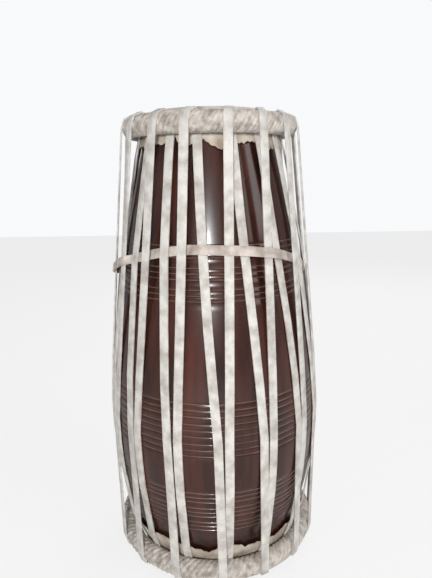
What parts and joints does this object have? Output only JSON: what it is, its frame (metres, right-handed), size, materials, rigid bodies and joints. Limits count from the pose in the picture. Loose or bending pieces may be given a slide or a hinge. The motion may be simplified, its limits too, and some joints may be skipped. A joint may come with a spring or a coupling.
{
  "type": "barrel drum",
  "caption": "Upright two-headed barrel drum of dark turned wood with skin heads, braided hoops, zigzag hide lacing and a woven waist strap.",
  "frame": {"origin": "middle of the bass head's face, on which the drum stands", "axes": "+Z along the drum's axis towards the treble head, -Y towards the side pictured"},
  "size_m": [0.3064, 0.3066, 0.6203],
  "materials": {
    "varnished_wood": "dark red-brown gloss varnish",
    "head_skin": "pale dry hide",
    "braided_hide": "matt twisted hide",
    "hide_strap": "matt off-white rawhide",
    "waist_hide": "matt speckled hide",
    "tuning_paste": "burnished black paste"
  },
  "bodies": {
    "root": {"barrel": "varnished_wood", "bass_hoop": "braided_hide", "bass_lining_skin": "head_skin", "bass_playing_skin": "head_skin", "bass_rim_skin": "head_skin", "lacing_1": "hide_strap", "lacing_2": "hide_strap", "lacing_3": "hide_strap", "lacing_4": "hide_strap", "lacing_5": "hide_strap", "lacing_6": "hide_strap", "lacing_7": "hide_strap", "lacing_8": "hide_strap", "treble_hoop": "braided_hide", "treble_lining_skin": "head_skin", "treble_playing_skin": "head_skin", "treble_rim_skin": "head_skin", "treble_tuning_paste": "tuning_paste", "waist_strap": "waist_hide"}
  },
  "joints": []
}
